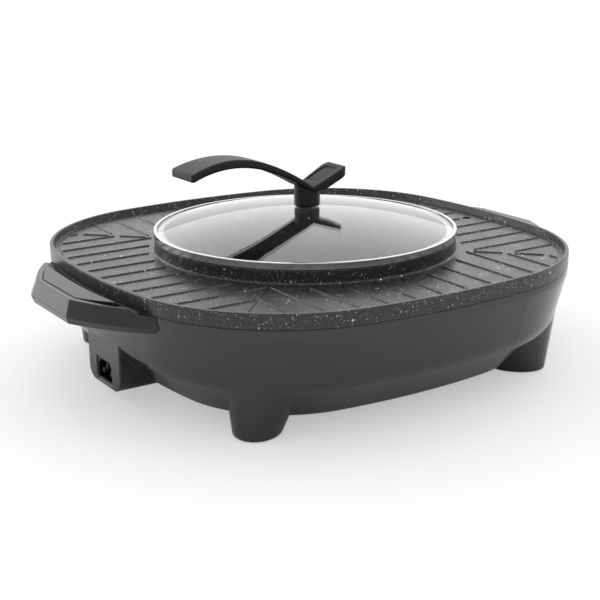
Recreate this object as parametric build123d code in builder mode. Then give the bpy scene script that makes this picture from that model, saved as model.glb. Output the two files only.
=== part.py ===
from build123d import *
import math
import os

# Hot pot grill combo: a square electric grill pan with a round pot well in its middle,
# a domed glass lid with a long arm handle, and a moulded base with two side handles,
# four feet and an inlet box. All lengths are in millimetres. The origin is the centre of
# the footprint on the table, +Z is up, -X is the inlet side and -Y is the front.

os.makedirs("parts", exist_ok=True)

# Fits shared by all pieces
contact_gap = 0.3  # between pieces that come apart
fit_clearance = 0.1  # round a shank, pin or tube in its hole, on each side
cut_overrun = 4.0  # how far a cut passes beyond the face that it opens

# Outline of the pan and the base in plan: four slack sides and four round corners
plate_half_width = 204.8
plate_side_radius = 586.0
plate_corner_radius = 141.8

# Grill pan
rim_top = 105.5  # height of the rim's top edge above the table
rim_height = 12.0
rim_wall = 3.0
rim_draft = 1.5  # how much further in the rim's foot stands than its top
floor_depth = 5.5  # from the rim's top down to the grill floor
floor_thickness = 3.5
gutter_inset = 5.4
gutter_width = 3.2
gutter_depth = 0.7
collar_height = 11.7
collar_root_fillet = 2.0
pot_mouth_radius = 124.0
collar_width = 6.5  # from the pot's mouth out to the collar's outside
pot_lean = 12.0  # how much narrower the pot is at its floor
pot_floor_level = 44.0  # inside of the pot's floor above the table
pot_corner_fillet = 12.0
pot_wall = 3.6
pot_floor_thickness = 4.0
pot_bottom_fillet = 14.0
pan_edge_fillet = 0.9
rib_pitch = 24.5
rib_width = 1.8
rib_height = 1.0
rib_rim_gap = 9.6  # from the plan outline to a rib's outer end
rib_collar_gap = 5.5
rib_side_count = 3  # ribs on each side of a middle rib that start at the collar
rib_corner_count = 3  # ribs beyond those, which start at the corner's diagonal
rib_corner_gap = 8.0  # by which the ribs of one side stand off the diagonal
spine_gap = 5.0
rib_taper = 32
dimple_inset = 20.8  # from the pan's side to the dimple's middle
dimple_radius = 4.2
dimple_depth = 1.5

# Housing
wall = 2.6
skin_inset = 0.2  # how far the housing's skin stands inside the pan's rim
land_height = 5.7  # upright land below the seam
flank_foot_inset = 9.0
flank_foot_level = 52.0
slope_top_inset = 15.0
slope_top_level = 41.0
slope_foot_inset = 42.0
slope_foot_level = 14.0
heel_inset = 51.7
base_level = 10.0
base_rim_inset = 70.0
lip_width = 16.0
lip_overlap = 4.0
cavity_inset = 100.0

# Feet
foot_inset_x = 74.0  # from the pan's sides to a foot's middle
foot_inset_y = 73.1
foot_long_radius = 24.3
foot_short_radius = 18.8
foot_edge_level = 0.8
foot_top_level = 56.0
foot_top_long_growth = 14.2
foot_top_short_growth = 15.5
foot_top_shift = 10.0
foot_wall = 2.8
foot_edge_fillet = 1.5
foot_pad_inset = 5.0
foot_pad_recess = 1.7

# Inlet box and inlet
box_inset = 9.8  # from the pan's side in to the box's outer face
box_width = 58.0
box_bottom = 10.6
box_top = 62.0  # hidden behind the skin
box_corner_radius = 11.0
box_roof = 44.0  # top of the hollow inside
box_depth = 45.0
inlet_width = 27.8
inlet_height = 18.6
inlet_level = 23.0  # middle of the inlet above the table
inlet_setback = 0.8
inlet_depth = 18.0
inlet_corner_radius = 2.0
inlet_mouth_width = 24.2
inlet_mouth_height = 16.0
inlet_mouth_depth = 15.0
inlet_mouth_chamfer = 4.5
inlet_flange_width = 34.0
inlet_flange_thickness = 2.0
pin_width = 2.0
pin_height = 4.0
pin_spread = 7.0
pin_drop = 2.0
earth_pin_rise = 3.0
pin_tip_setback = 1.4
pin_tail = 6.0
pin_tip_chamfer = 0.4

# Side handles. Their plan at each level runs from a flat facet, at its reach from the
# centre, round a cheek to an end, and is given by half widths and set-backs from the facet.
grip_overhang = 30.2  # how far the top's facet stands out from the pan's side
grip_top_rise = 4.1  # above the housing's seam
grip_top_facet = 32.5
grip_top_bulge_setback = 16.4
grip_top_bulge = 66.5
grip_top_end_setback = 43.0
grip_top_end = 101.5
grip_waist_drop = 12.8  # below the top
grip_waist_flare = 4.3  # how much further out its facet stands than the top's
grip_waist_facet = 35.0
grip_waist_bulge_setback = 16.3
grip_waist_bulge = 68.0
grip_waist_end_setback = 46.3
grip_waist_end = 101.5
grip_height = 18.3
grip_bottom_flare = 2.3
grip_bottom_facet = 34.0
grip_bottom_bulge_setback = 20.1
grip_bottom_bulge = 68.5
grip_bottom_end_setback = 48.9
grip_bottom_end = 99.0
grip_root_inset = 54.8  # how far in the handle's block starts before it is trimmed to the skin
grip_step_start = 81.0
grip_step_end = 92.5
grip_step_drop = 4.3
grip_wall = 3.0
grip_strip = 5.8  # width of the outer strip on top, round the panel
panel_thickness = 3.0
panel_ledge = 2.0
panel_gap = 1.0
panel_inner_rise = 3.0  # above the handle's top, at the pan's side
panel_outer_rise = 0.2
valley_drop = 4.4  # below the handle's top, where it falls to the pan's side
valley_rise = 6.1  # of the flank from there up to the panel's crest
valley_width = 10.1
panel_tip_trim = 79.0
grip_edge_fillet = 0.8
grip_boss_radius = 4.5
grip_boss_offset = 56.0
grip_boss_drop = 12.3
grip_boss_length = 13.0
grip_seat_inset = 5.2  # of the screw heads' seat inside the housing

# Screws
screw_radius = 1.75
screw_head_radius = 3.5
screw_head_height = 2.2
screw_length = 12.0
driver_slot_length = 4.0
driver_slot_width = 0.9
driver_slot_depth = 1.0
cover_screw_offset = 45.0
cover_boss_radius = 4.0
cover_boss_height = 9.0

# Bottom cover
cover_thickness = 1.5
vent_length = 34.0
vent_width = 3.0
vent_pitch = 9.0
vent_rows = 7
vent_columns = 2

# Heat shield
shield_thickness = 0.8
shield_gap = 12.5  # from the grill floor down to its flange
shield_edge_inset = 8.5
shield_well_gap = 6.4  # round the pot's wall
shield_floor_gap = 10.8  # below the pot
shield_post_inset = 22.8
shield_post_offset = 75.0
shield_post_radius = 4.5
shield_web = 2.4

# Heaters
tube_radius = 3.3
grill_heater_shift = 6.4  # by which it lies nearer to the pot than to the pan's side
grill_heater_straight = 58.0  # half of each straight side
grill_heater_end_spread = 17.0
grill_heater_end_drop = 18.0  # below the shield's flange
pot_heater_inset = 32.0  # from the edge of the pot's floor
pot_heater_straight = 20.0  # half of each straight side
pot_heater_end_spread = 12.0
pot_heater_end_drop = 5.2  # below the shield's floor
heater_bend_radius = 8.0
heater_hole_radius = 4.5
clip_length = 12.0
grill_clip_offset = 36.0
clip_width = 9.0
clip_cover_share = 0.85  # share of the tube's radius that a clip's walls rise to

# Thermostat, fuse and terminal block
thermostat_radius = 8.5
thermostat_collar_radius = 11.0
thermostat_collar_height = 2.0
sensor_hole_radius = 14.0
bracket_length = 62.0
bracket_width = 10.0
bracket_thickness = 1.2
fuse_length = 18.0
fuse_width = 9.0
fuse_height = 4.5
fuse_position = 45.0
rivet_spread = 24.0
rivet_radius = 1.5
rivet_head_radius = 2.6
rivet_head_height = 1.0
block_length = 40.0
block_width = 13.0
block_height = 12.0
block_chamfer = 1.0
block_pitch = 7.6
block_poles = 5
wire_radius = 1.3
wire_bend_radius = 5.0
supply_wire_spread = 10.0
supply_wire_level = 21.0
pot_wire_level = 17.0
grill_wire_level = 21.0
thermostat_wire_level = 19.5
thermostat_wire_spread = 5.5
thermostat_wire_reach = 8.0
fuse_wire_run = 10.0

# Lid
glass_thickness = 4.0
glass_rise = 17.6  # of the dome above the band's seat
glass_edge_gap = 0.4  # inside the band's wall
glass_edge_width = 2.1  # of the flat edge that the band holds
glass_hole_radius = 4.0
band_overhang = 0.6  # beyond the collar
band_height = 5.6
band_sheet = 0.8
band_top_width = 2.7
band_drop = 4.2
band_drop_gap = 1.2
band_edge_fillet = 0.35
gasket_radius = 8.0
gasket_thickness = 0.7
washer_radius = 9.0
washer_thickness = 1.2
lid_screw_radius = 2.5
lid_screw_head_radius = 5.0
lid_screw_head_height = 2.8
lid_screw_reach = 12.0

# Lid handle: points of its side view are distances from the lid's axis and heights
# above the lid's seat, and its plan is a strap that is narrowest over the post
post_radius = 11.2
post_foot_fillet = 1.2
post_shift = 2.2
arm_end = 119.0
arm_end_top = 64.6
arm_end_bottom = 57.8
arm_crest = 84.0
arm_crest_top = 72.4
arm_crest_bottom = 65.2
arm_fall = 45.5
arm_fall_top = 66.0
arm_fall_bottom = 59.4
arm_root_bottom = 42.0
wing_root = 1.5
wing_root_top = 40.7
wing_root_bottom = 37.7
post_top = 37.0  # of the dip in the strap's underside
wing_end = 34.0
wing_end_top = 56.5
wing_end_bottom = 48.3
wing_nose = 35.0
wing_nose_level = 50.3
strap_end_half_width = 19.0
strap_mid_half_width = 13.2
strap_waist_half_width = 12.8
strap_wing_half_width = 16.5
strap_edge_fillet = 1.4
strap_corner_radius = 3.0
wing_corner_radius = 7.0
wing_panel_depth = 0.8
wing_panel_length = 24.0
wing_panel_width = 22.0
wing_panel_corner = 6.0

# Levels and places worked out from the sizes above
rim_bottom = rim_top - rim_height
housing_top = rim_bottom - contact_gap
floor_level = rim_top - floor_depth
floor_underside = floor_level - floor_thickness
collar_top = floor_level + collar_height
collar_radius = pot_mouth_radius + collar_width
pot_floor_radius = pot_mouth_radius - pot_lean
pot_underside = pot_floor_level - pot_floor_thickness
lid_seat = collar_top + contact_gap
band_radius = collar_radius + band_overhang
glass_edge_radius = band_radius - band_sheet - glass_edge_gap
glass_dome_radius = glass_edge_radius - glass_edge_width
dimple_reach = plate_half_width - dimple_inset
foot_offset_x = plate_half_width - foot_inset_x
foot_offset_y = plate_half_width - foot_inset_y
box_face = plate_half_width - box_inset
box_inner_end = box_face - box_depth
grip_root = plate_half_width - grip_root_inset
grip_top_reach = plate_half_width + grip_overhang
grip_waist_reach = grip_top_reach + grip_waist_flare
grip_bottom_reach = grip_top_reach + grip_bottom_flare
grip_top = housing_top + grip_top_rise
grip_waist = grip_top - grip_waist_drop
grip_bottom = grip_top - grip_height
grip_step_level = grip_top - grip_step_drop
grip_boss_level = grip_top - grip_boss_drop
panel_inner_level = grip_top + panel_inner_rise
panel_outer_level = grip_top + panel_outer_rise
valley_level = grip_top - valley_drop
lip_level = base_level + cover_thickness
lip_top = lip_level + wall
side_centre = plate_half_width - plate_side_radius
radius_step = plate_side_radius - plate_corner_radius
corner_centre = (side_centre + math.sqrt(2 * radius_step**2 - side_centre**2)) / 2
side_angle = math.degrees(math.atan2(corner_centre, corner_centre - side_centre))
corner_angle = 90 - 2 * side_angle
shield_level = floor_underside - shield_gap
shield_top = shield_level + shield_thickness
shield_well_radius = pot_mouth_radius + pot_wall + shield_well_gap
shield_floor_level = pot_underside - shield_floor_gap
shield_floor_top = shield_floor_level + shield_thickness
grill_tube_level = floor_underside - contact_gap - tube_radius
pot_tube_level = pot_underside - contact_gap - tube_radius
grill_heater_half_width = (shield_well_radius + plate_half_width) / 2 - grill_heater_shift
grill_heater_end_level = shield_level - grill_heater_end_drop
pot_heater_half_width = pot_floor_radius - pot_heater_inset
pot_heater_end_level = shield_floor_level - pot_heater_end_drop
screw_hole_radius = screw_radius + fit_clearance


def rounded_square(inset):
    """Face of the plan outline, drawn in by the given inset."""
    with BuildSketch() as section:
        with BuildLine():
            for quarter in range(4):
                turn = 90 * quarter
                side = Vector(side_centre, 0).rotate(Axis.Z, turn)
                corner = Vector(corner_centre, corner_centre).rotate(Axis.Z, turn)
                CenterArc(side, plate_side_radius - inset, turn - side_angle, 2 * side_angle)
                CenterArc(corner, plate_corner_radius - inset, turn + side_angle, corner_angle)
        make_face()
    return section.sketch


def reach_at(offset, inset):
    """How far out the inset outline lies, at an offset along one of its sides."""
    if abs(offset) <= (plate_side_radius - inset) * math.sin(math.radians(side_angle)):
        return side_centre + math.sqrt((plate_side_radius - inset) ** 2 - offset**2)
    along = abs(offset) - corner_centre
    return corner_centre + math.sqrt((plate_corner_radius - inset) ** 2 - along**2)


def tube_along(points, bends, radius):
    """Round rod or wire through the points, with a bend radius at each inner point."""
    with BuildPart() as tube:
        with BuildLine() as route:
            FilletPolyline(*points, radius=bends)
        with BuildSketch(Plane(route.line @ 0, z_dir=route.line % 0)):
            Circle(radius)
        sweep(path=route.wires()[0])
    return tube.part


def screw(seat):
    """Pan head screw whose head stands on the seat plane and whose shank goes into it."""
    with BuildPart(seat) as one_screw:
        Cylinder(screw_head_radius, screw_head_height, align=(Align.CENTER, Align.CENTER, Align.MIN))
        Cylinder(screw_radius, screw_length, align=(Align.CENTER, Align.CENTER, Align.MAX))
        with BuildSketch(seat.offset(screw_head_height)):
            Rectangle(driver_slot_length, driver_slot_width)
            Rectangle(driver_slot_width, driver_slot_length)
        extrude(amount=-driver_slot_depth, mode=Mode.SUBTRACT)
    return one_screw.part


# Housing: one moulding with the bowl, four hollow feet and the inlet box.
# Its skin is drawn on the +X side, as distance from the centre and height, and is swept
# round the outline.
with BuildLine() as outline_path:
    for quarter in range(4):
        turn = 90 * quarter
        side = Vector(side_centre, 0).rotate(Axis.Z, turn)
        next_side = Vector(side_centre, 0).rotate(Axis.Z, turn + 90)
        corner = Vector(corner_centre, corner_centre).rotate(Axis.Z, turn)
        CenterArc(side, plate_side_radius, turn, side_angle)
        CenterArc(corner, plate_corner_radius, turn + side_angle, corner_angle)
        CenterArc(next_side, plate_side_radius, turn + 90 - side_angle, side_angle)
outline_wire = outline_path.wires()[0]

with BuildLine() as skin_line:
    land = Line(
        (plate_half_width - skin_inset, housing_top),
        (plate_half_width - skin_inset, housing_top - land_height),
    )
    flank = Line(land @ 1, (plate_half_width - flank_foot_inset, flank_foot_level))
    haunch = TangentArc(
        flank @ 1, (plate_half_width - slope_top_inset, slope_top_level), tangent=flank % 1
    )
    slope = Line(haunch @ 1, (plate_half_width - slope_foot_inset, slope_foot_level))
    heel = TangentArc(slope @ 1, (plate_half_width - heel_inset, base_level), tangent=slope % 1)
    Line(heel @ 1, (plate_half_width - base_rim_inset, base_level))

with BuildSketch() as wall_section:
    with BuildLine():
        add(skin_line.line)
        offset(amount=wall, side=Side.RIGHT, closed=True)
    make_face()

with BuildSketch() as filled_section:
    with BuildLine():
        add(skin_line.line)
        Polyline(
            skin_line.line @ 1,
            (plate_half_width - cavity_inset, base_level),
            (plate_half_width - cavity_inset, housing_top),
            skin_line.line @ 0,
        )
    make_face()

with BuildPart() as bowl_ring:
    with BuildSketch(Plane.XZ):
        add(filled_section.sketch_local)
    sweep(path=outline_wire)

with BuildPart() as bowl_clearance:
    with BuildSketch(Plane.XZ):
        offset(filled_section.sketch_local, amount=fit_clearance)
    sweep(path=outline_wire)

# Places of the screws and posts on the +X side, then the same on the other sides
side_turns = [0, 90, 180, 270]
mirror_signs = [-1, 1]
post_spots = []
cover_screw_spots = []
for turn in side_turns:
    for sign in mirror_signs:
        post_reach = reach_at(shield_post_offset, shield_post_inset)
        post_spots.append(Vector(post_reach, sign * shield_post_offset).rotate(Axis.Z, turn))
        lip_reach = reach_at(cover_screw_offset, base_rim_inset + lip_width / 2)
        cover_screw_spots.append(Vector(lip_reach, sign * cover_screw_offset).rotate(Axis.Z, turn))
grip_seat_reach = reach_at(grip_boss_offset, grip_seat_inset)

with BuildPart() as bowl_cavity:
    with BuildSketch(Plane.XZ):
        add(filled_section.sketch_local)
        add(wall_section.sketch_local, mode=Mode.SUBTRACT)
    sweep(path=outline_wire)
    # Posts and bosses are left standing in the hollow
    with BuildSketch(Plane.XY):
        for turn in side_turns:
            for sign in mirror_signs:
                spot = Vector(post_reach, sign * shield_post_offset).rotate(Axis.Z, turn)
                with Locations(spot):
                    Circle(shield_post_radius)
                web_length = shield_post_inset
                middle = Vector(post_reach + web_length / 2, sign * shield_post_offset)
                with Locations(middle.rotate(Axis.Z, turn)):
                    Rectangle(web_length, shield_web, rotation=turn)
    extrude(amount=shield_level, mode=Mode.SUBTRACT)
    with Locations((0, 0, grip_boss_level)):
        for sign in mirror_signs:
            for offset_sign in mirror_signs:
                with Locations((sign * grip_seat_reach, offset_sign * grip_boss_offset)):
                    Cylinder(
                        grip_boss_radius,
                        plate_half_width - grip_seat_reach,
                        rotation=(0, sign * 90, 0),
                        align=(Align.CENTER, Align.CENTER, Align.MIN),
                        mode=Mode.SUBTRACT,
                    )

with BuildPart() as foot_block:
    with BuildSketch(Plane.XY.offset(foot_edge_level)):
        with Locations((-foot_offset_x, -foot_offset_y)):
            Ellipse(foot_long_radius, foot_short_radius, rotation=45)
    with BuildSketch(Plane.XY.offset(foot_top_level)):
        with Locations((foot_top_shift - foot_offset_x, -foot_offset_y)):
            Ellipse(
                foot_long_radius + foot_top_long_growth,
                foot_short_radius + foot_top_short_growth,
                rotation=45,
            )
    loft()
    fillet(foot_block.faces().sort_by(Axis.Z)[0].edges(), foot_edge_fillet)
    mirror(about=Plane.YZ)
    mirror(about=Plane.XZ)

foot_floor_top = foot_edge_level + foot_pad_recess + foot_wall
with BuildPart() as foot_hollow:
    with BuildSketch(Plane.XY.offset(foot_floor_top)):
        with Locations((-foot_offset_x, -foot_offset_y)):
            Ellipse(foot_long_radius - foot_wall, foot_short_radius - foot_wall, rotation=45)
    with BuildSketch(Plane.XY.offset(foot_top_level)):
        with Locations((foot_top_shift - foot_offset_x, -foot_offset_y)):
            Ellipse(
                foot_long_radius + foot_top_long_growth - foot_wall,
                foot_short_radius + foot_top_short_growth - foot_wall,
                rotation=45,
            )
    loft()
    mirror(about=Plane.YZ)
    mirror(about=Plane.XZ)

with BuildPart() as housing_shell:
    add(bowl_ring.part)
    add(foot_block.part)
    with BuildSketch(Plane.YZ.offset(-box_face)) as box_outline:
        with Locations((0, box_bottom)):
            Rectangle(box_width, box_top - box_bottom, align=(Align.CENTER, Align.MIN))
        fillet(box_outline.vertices().group_by(Axis.Y)[0], box_corner_radius)
    extrude(amount=box_face - box_inner_end)
    add(bowl_cavity.part, mode=Mode.SUBTRACT)
    add(foot_hollow.part, mode=Mode.SUBTRACT)
    # Hollow of the inlet box, open to the bowl
    with BuildSketch(Plane.YZ.offset(wall - box_face)) as box_hollow:
        with Locations((0, box_bottom + wall)):
            Rectangle(
                box_width - 2 * wall, box_roof - box_bottom - wall, align=(Align.CENTER, Align.MIN)
            )
        fillet(box_hollow.vertices().group_by(Axis.Y)[0], box_corner_radius - wall)
    extrude(amount=box_face - box_inner_end, mode=Mode.SUBTRACT)
    # Window for the inlet
    with BuildSketch(Plane.YZ.offset(-box_face - cut_overrun)):
        with Locations((0, inlet_level)):
            RectangleRounded(
                inlet_width + 2 * contact_gap,
                inlet_height + 2 * contact_gap,
                inlet_corner_radius + contact_gap,
            )
    extrude(amount=wall + 2 * cut_overrun, mode=Mode.SUBTRACT)
    # Lip that carries the bottom cover, with its screw bosses
    with BuildSketch(Plane.XY.offset(lip_level)):
        add(rounded_square(base_rim_inset - lip_overlap))
        add(rounded_square(base_rim_inset + lip_width), mode=Mode.SUBTRACT)
    extrude(amount=wall)
    with BuildSketch(Plane.XY.offset(lip_level)):
        with Locations(*cover_screw_spots):
            Circle(cover_boss_radius)
    extrude(amount=cover_boss_height)
    with BuildSketch(Plane.XY.offset(lip_level)):
        with Locations(*cover_screw_spots):
            Circle(screw_hole_radius)
    extrude(amount=cover_boss_height, both=True, mode=Mode.SUBTRACT)
    # Screw holes in the posts and through the wall at the handles
    with BuildSketch(Plane.XY.offset(shield_level)):
        with Locations(*post_spots):
            Circle(screw_hole_radius)
    extrude(amount=-screw_length - fit_clearance, mode=Mode.SUBTRACT)
    with Locations((0, grip_boss_offset, grip_boss_level), (0, -grip_boss_offset, grip_boss_level)):
        Cylinder(
            screw_hole_radius,
            2 * plate_half_width + cut_overrun,
            rotation=(0, 90, 0),
            mode=Mode.SUBTRACT,
        )
    # Recesses for the foot pads
    with BuildSketch(Plane.XY.offset(foot_edge_level)):
        for x_sign in mirror_signs:
            for y_sign in mirror_signs:
                with Locations((x_sign * foot_offset_x, y_sign * foot_offset_y)):
                    Ellipse(
                        foot_long_radius - foot_pad_inset + fit_clearance,
                        foot_short_radius - foot_pad_inset + fit_clearance,
                        rotation=45 * x_sign * y_sign,
                    )
    extrude(amount=foot_pad_recess, mode=Mode.SUBTRACT)
housing_shell.part.label = "housing_shell"
export_step(housing_shell.part, "parts/housing_shell.step")

# Rubber foot pads
for end_name, y_sign in [("front", -1), ("back", 1)]:
    for side_name, x_sign in [("left", -1), ("right", 1)]:
        with BuildPart() as foot_pad:
            with BuildSketch(Plane.XY):
                with Locations((x_sign * foot_offset_x, y_sign * foot_offset_y)):
                    Ellipse(
                        foot_long_radius - foot_pad_inset,
                        foot_short_radius - foot_pad_inset,
                        rotation=45 * x_sign * y_sign,
                    )
            extrude(amount=foot_edge_level + foot_pad_recess)
        foot_pad.part.label = f"foot_pad_{end_name}_{side_name}"
        export_step(foot_pad.part, f"parts/{foot_pad.part.label}.step")

# Sheet cover that closes the underside, with a block of vent slots
with BuildPart() as bottom_cover:
    with BuildSketch(Plane.XY.offset(base_level)):
        add(rounded_square(base_rim_inset + contact_gap))
        with GridLocations(vent_length + vent_pitch, vent_pitch, vent_columns, vent_rows):
            SlotOverall(vent_length, vent_width, mode=Mode.SUBTRACT)
        with Locations(*cover_screw_spots):
            Circle(screw_hole_radius, mode=Mode.SUBTRACT)
    extrude(amount=cover_thickness)
bottom_cover.part.label = "bottom_cover"
export_step(bottom_cover.part, "parts/bottom_cover.step")

with BuildPart() as bottom_cover_screws:
    for spot in cover_screw_spots:
        add(screw(Plane((spot.X, spot.Y, base_level), z_dir=(0, 0, -1))))
bottom_cover_screws.part.label = "bottom_cover_screws"
export_step(bottom_cover_screws.part, "parts/bottom_cover_screws.step")


def grip_section(level, reach, facet, bulge_setback, bulge, end_setback, end):
    """Plan of the right handle at one level: a flat facet, two round cheeks and a root."""
    bulge_reach = reach - bulge_setback
    end_reach = reach - end_setback
    with BuildSketch(Plane.XY.offset(level)) as section:
        with BuildLine():
            Line((reach, -facet), (reach, facet))
            ThreePointArc((reach, facet), (bulge_reach, bulge), (end_reach, end))
            Polyline((end_reach, end), (grip_root, end), (grip_root, -end), (end_reach, -end))
            ThreePointArc((end_reach, -end), (bulge_reach, -bulge), (reach, -facet))
        make_face()
    return section.sketch


# Right handle: its outside is ruled from the underside out to a crease and back in to the top
grip_top_plan = grip_section(
    grip_top,
    grip_top_reach,
    grip_top_facet,
    grip_top_bulge_setback,
    grip_top_bulge,
    grip_top_end_setback,
    grip_top_end,
)
grip_waist_plan = grip_section(
    grip_waist,
    grip_waist_reach,
    grip_waist_facet,
    grip_waist_bulge_setback,
    grip_waist_bulge,
    grip_waist_end_setback,
    grip_waist_end,
)
grip_bottom_plan = grip_section(
    grip_bottom,
    grip_bottom_reach,
    grip_bottom_facet,
    grip_bottom_bulge_setback,
    grip_bottom_bulge,
    grip_bottom_end_setback,
    grip_bottom_end,
)

# The inset top panel rises from the outer strip to a crest, short of the pan's side
panel_run = grip_top_reach - grip_strip - plate_half_width
panel_rise = panel_outer_level - panel_inner_level


def panel_slab(drop, height, half_length):
    """Slanted slab along the panel's top, from a drop below it up to a height above it."""
    with BuildSketch(Plane.XZ) as section:
        with BuildLine():
            inner = Vector(plate_half_width - panel_run, panel_inner_level - panel_rise)
            outer = Vector(grip_top_reach, panel_outer_level + panel_rise * grip_strip / panel_run)
            Polyline(
                inner - Vector(0, drop),
                outer - Vector(0, drop),
                outer + Vector(0, height),
                inner + Vector(0, height),
                close=True,
            )
        make_face()
    with BuildPart() as slab:
        extrude(section.sketch, amount=half_length, both=True)
    return slab.part


# Room that the handles leave for the housing and, above it, for the pan's rim, with a
# valley beside the rim
with BuildPart() as base_clearance:
    add(bowl_clearance.part)
    with BuildSketch(Plane.XY.offset(housing_top)):
        add(rounded_square(-contact_gap))
    extrude(amount=rim_height)
    with BuildSketch(Plane.XY.offset(valley_level)):
        add(rounded_square(-contact_gap))
    with BuildSketch(Plane.XY.offset(valley_level + 2 * valley_rise)):
        add(rounded_square(-contact_gap - 2 * valley_width))
    loft(ruled=True)

with BuildPart() as grip_panel:
    with BuildSketch(Plane.XY.offset(grip_bottom)):
        offset(grip_top_plan, amount=-grip_strip)
    extrude(amount=2 * (grip_top - grip_bottom))
    add(panel_slab(panel_thickness, 0, panel_tip_trim), mode=Mode.INTERSECT)
    add(base_clearance.part, mode=Mode.SUBTRACT)

with BuildPart() as grip_body:
    loft([grip_bottom_plan, grip_waist_plan, grip_top_plan], ruled=True)
    # The ends step down beside the housing
    with BuildSketch(Plane.YZ.offset(grip_root)):
        with BuildLine():
            step = TangentArc(
                (grip_step_end, grip_step_level), (grip_step_start, grip_top), tangent=(-1, 0)
            )
            Polyline(
                step @ 1,
                (grip_step_start, grip_top + cut_overrun),
                (grip_top_end + cut_overrun, grip_top + cut_overrun),
                (grip_top_end + cut_overrun, grip_step_level),
                step @ 0,
            )
        make_face()
        mirror(about=Plane.YZ)
    extrude(amount=grip_waist_reach - grip_root, mode=Mode.SUBTRACT)
    outer_edges = grip_body.edges().filter_by_position(Axis.X, grip_seat_reach, grip_waist_reach)
    outer_edges = outer_edges.filter_by_position(Axis.Z, grip_waist, grip_top)
    edge_climb = grip_step_drop + grip_edge_fillet
    fillet([edge for edge in outer_edges if edge.bounding_box().size.Z < edge_climb], grip_edge_fillet)
    # Seat of the top panel
    with BuildSketch(Plane.XY.offset(grip_waist)):
        offset(grip_top_plan, amount=panel_gap - grip_strip)
    seat_block = extrude(amount=2 * (grip_top - grip_waist), mode=Mode.PRIVATE)
    add(seat_block & panel_slab(panel_thickness, cut_overrun, panel_tip_trim), mode=Mode.SUBTRACT)
    # Hollow under the panel, walled off from the valley
    with BuildSketch(Plane.XY.offset(grip_bottom + grip_wall)):
        offset(grip_top_plan, amount=-grip_strip - panel_ledge)
        with Locations((plate_half_width + valley_width + grip_wall, 0)):
            Rectangle(
                panel_run,
                2 * grip_top_end,
                align=(Align.MIN, Align.CENTER),
                mode=Mode.INTERSECT,
            )
    extrude(amount=grip_top - grip_bottom, mode=Mode.SUBTRACT)
    # Bosses for the screws from inside the housing
    for sign in mirror_signs:
        with Locations((grip_root, sign * grip_boss_offset, grip_boss_level)):
            Cylinder(
                grip_boss_radius,
                reach_at(grip_boss_offset, 0) + grip_boss_length - grip_root,
                rotation=(0, 90, 0),
                align=(Align.CENTER, Align.CENTER, Align.MIN),
            )
    add(base_clearance.part, mode=Mode.SUBTRACT)
    for sign in mirror_signs:
        with Locations((grip_seat_reach, sign * grip_boss_offset, grip_boss_level)):
            Cylinder(
                screw_hole_radius,
                screw_length + fit_clearance,
                rotation=(0, 90, 0),
                align=(Align.CENTER, Align.CENTER, Align.MIN),
                mode=Mode.SUBTRACT,
            )

for side_name, x_sign in [("left", -1), ("right", 1)]:
    with BuildPart() as handle_body:
        add(grip_body.part if x_sign > 0 else mirror(grip_body.part, about=Plane.YZ, mode=Mode.PRIVATE))
    handle_body.part.label = f"handle_body_{side_name}"
    export_step(handle_body.part, f"parts/{handle_body.part.label}.step")
    with BuildPart() as handle_cover:
        add(grip_panel.part if x_sign > 0 else mirror(grip_panel.part, about=Plane.YZ, mode=Mode.PRIVATE))
    handle_cover.part.label = f"handle_cover_{side_name}"
    export_step(handle_cover.part, f"parts/{handle_cover.part.label}.step")

with BuildPart() as handle_screws:
    for x_sign in mirror_signs:
        for y_sign in mirror_signs:
            seat_point = (x_sign * grip_seat_reach, y_sign * grip_boss_offset, grip_boss_level)
            add(screw(Plane(seat_point, z_dir=(-x_sign, 0, 0))))
handle_screws.part.label = "handle_screws"
export_step(handle_screws.part, "parts/handle_screws.step")

# Heat shield: a sheet with a flange round the pan and a well round the pot
with BuildPart() as heat_shield:
    with BuildSketch(Plane.XZ):
        with BuildLine():
            Polyline(
                (sensor_hole_radius, shield_floor_level),
                (shield_well_radius, shield_floor_level),
                (shield_well_radius, shield_level + shield_thickness),
            )
            offset(amount=shield_thickness, side=Side.LEFT, closed=True)
        make_face()
    revolve(axis=Axis.Z)
    with BuildSketch(Plane.XY.offset(shield_level)):
        add(rounded_square(shield_edge_inset))
        Circle(shield_well_radius - shield_thickness, mode=Mode.SUBTRACT)
        with Locations(*post_spots):
            Circle(screw_hole_radius, mode=Mode.SUBTRACT)
        with Locations(
            (-grill_heater_half_width, grill_heater_end_spread),
            (-grill_heater_half_width, -grill_heater_end_spread),
        ):
            Circle(heater_hole_radius, mode=Mode.SUBTRACT)
    extrude(amount=shield_thickness)
    with BuildSketch(Plane.XY.offset(shield_floor_level)):
        with Locations(
            (-pot_heater_half_width, pot_heater_end_spread),
            (-pot_heater_half_width, -pot_heater_end_spread),
        ):
            Circle(heater_hole_radius)
        with Locations((0, rivet_spread), (0, -rivet_spread)):
            Circle(rivet_radius + fit_clearance)
    extrude(amount=shield_thickness, mode=Mode.SUBTRACT)
heat_shield.part.label = "heat_shield"
export_step(heat_shield.part, "parts/heat_shield.step")

with BuildPart() as heat_shield_screws:
    for spot in post_spots:
        add(screw(Plane((spot.X, spot.Y, shield_top), z_dir=(0, 0, 1))))
heat_shield_screws.part.label = "heat_shield_screws"
export_step(heat_shield_screws.part, "parts/heat_shield_screws.step")


def heater(half_width, straight, end_spread, level, end_level):
    """Tubular element bent to a rounded square, with both ends turned down on the -X side."""
    points = [
        (-half_width, -end_spread, end_level),
        (-half_width, -end_spread, level),
        (-half_width, -half_width, level),
        (half_width, -half_width, level),
        (half_width, half_width, level),
        (-half_width, half_width, level),
        (-half_width, end_spread, level),
        (-half_width, end_spread, end_level),
    ]
    bends = [heater_bend_radius] + 4 * [half_width - straight] + [heater_bend_radius]
    return tube_along(points, bends, tube_radius)


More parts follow.
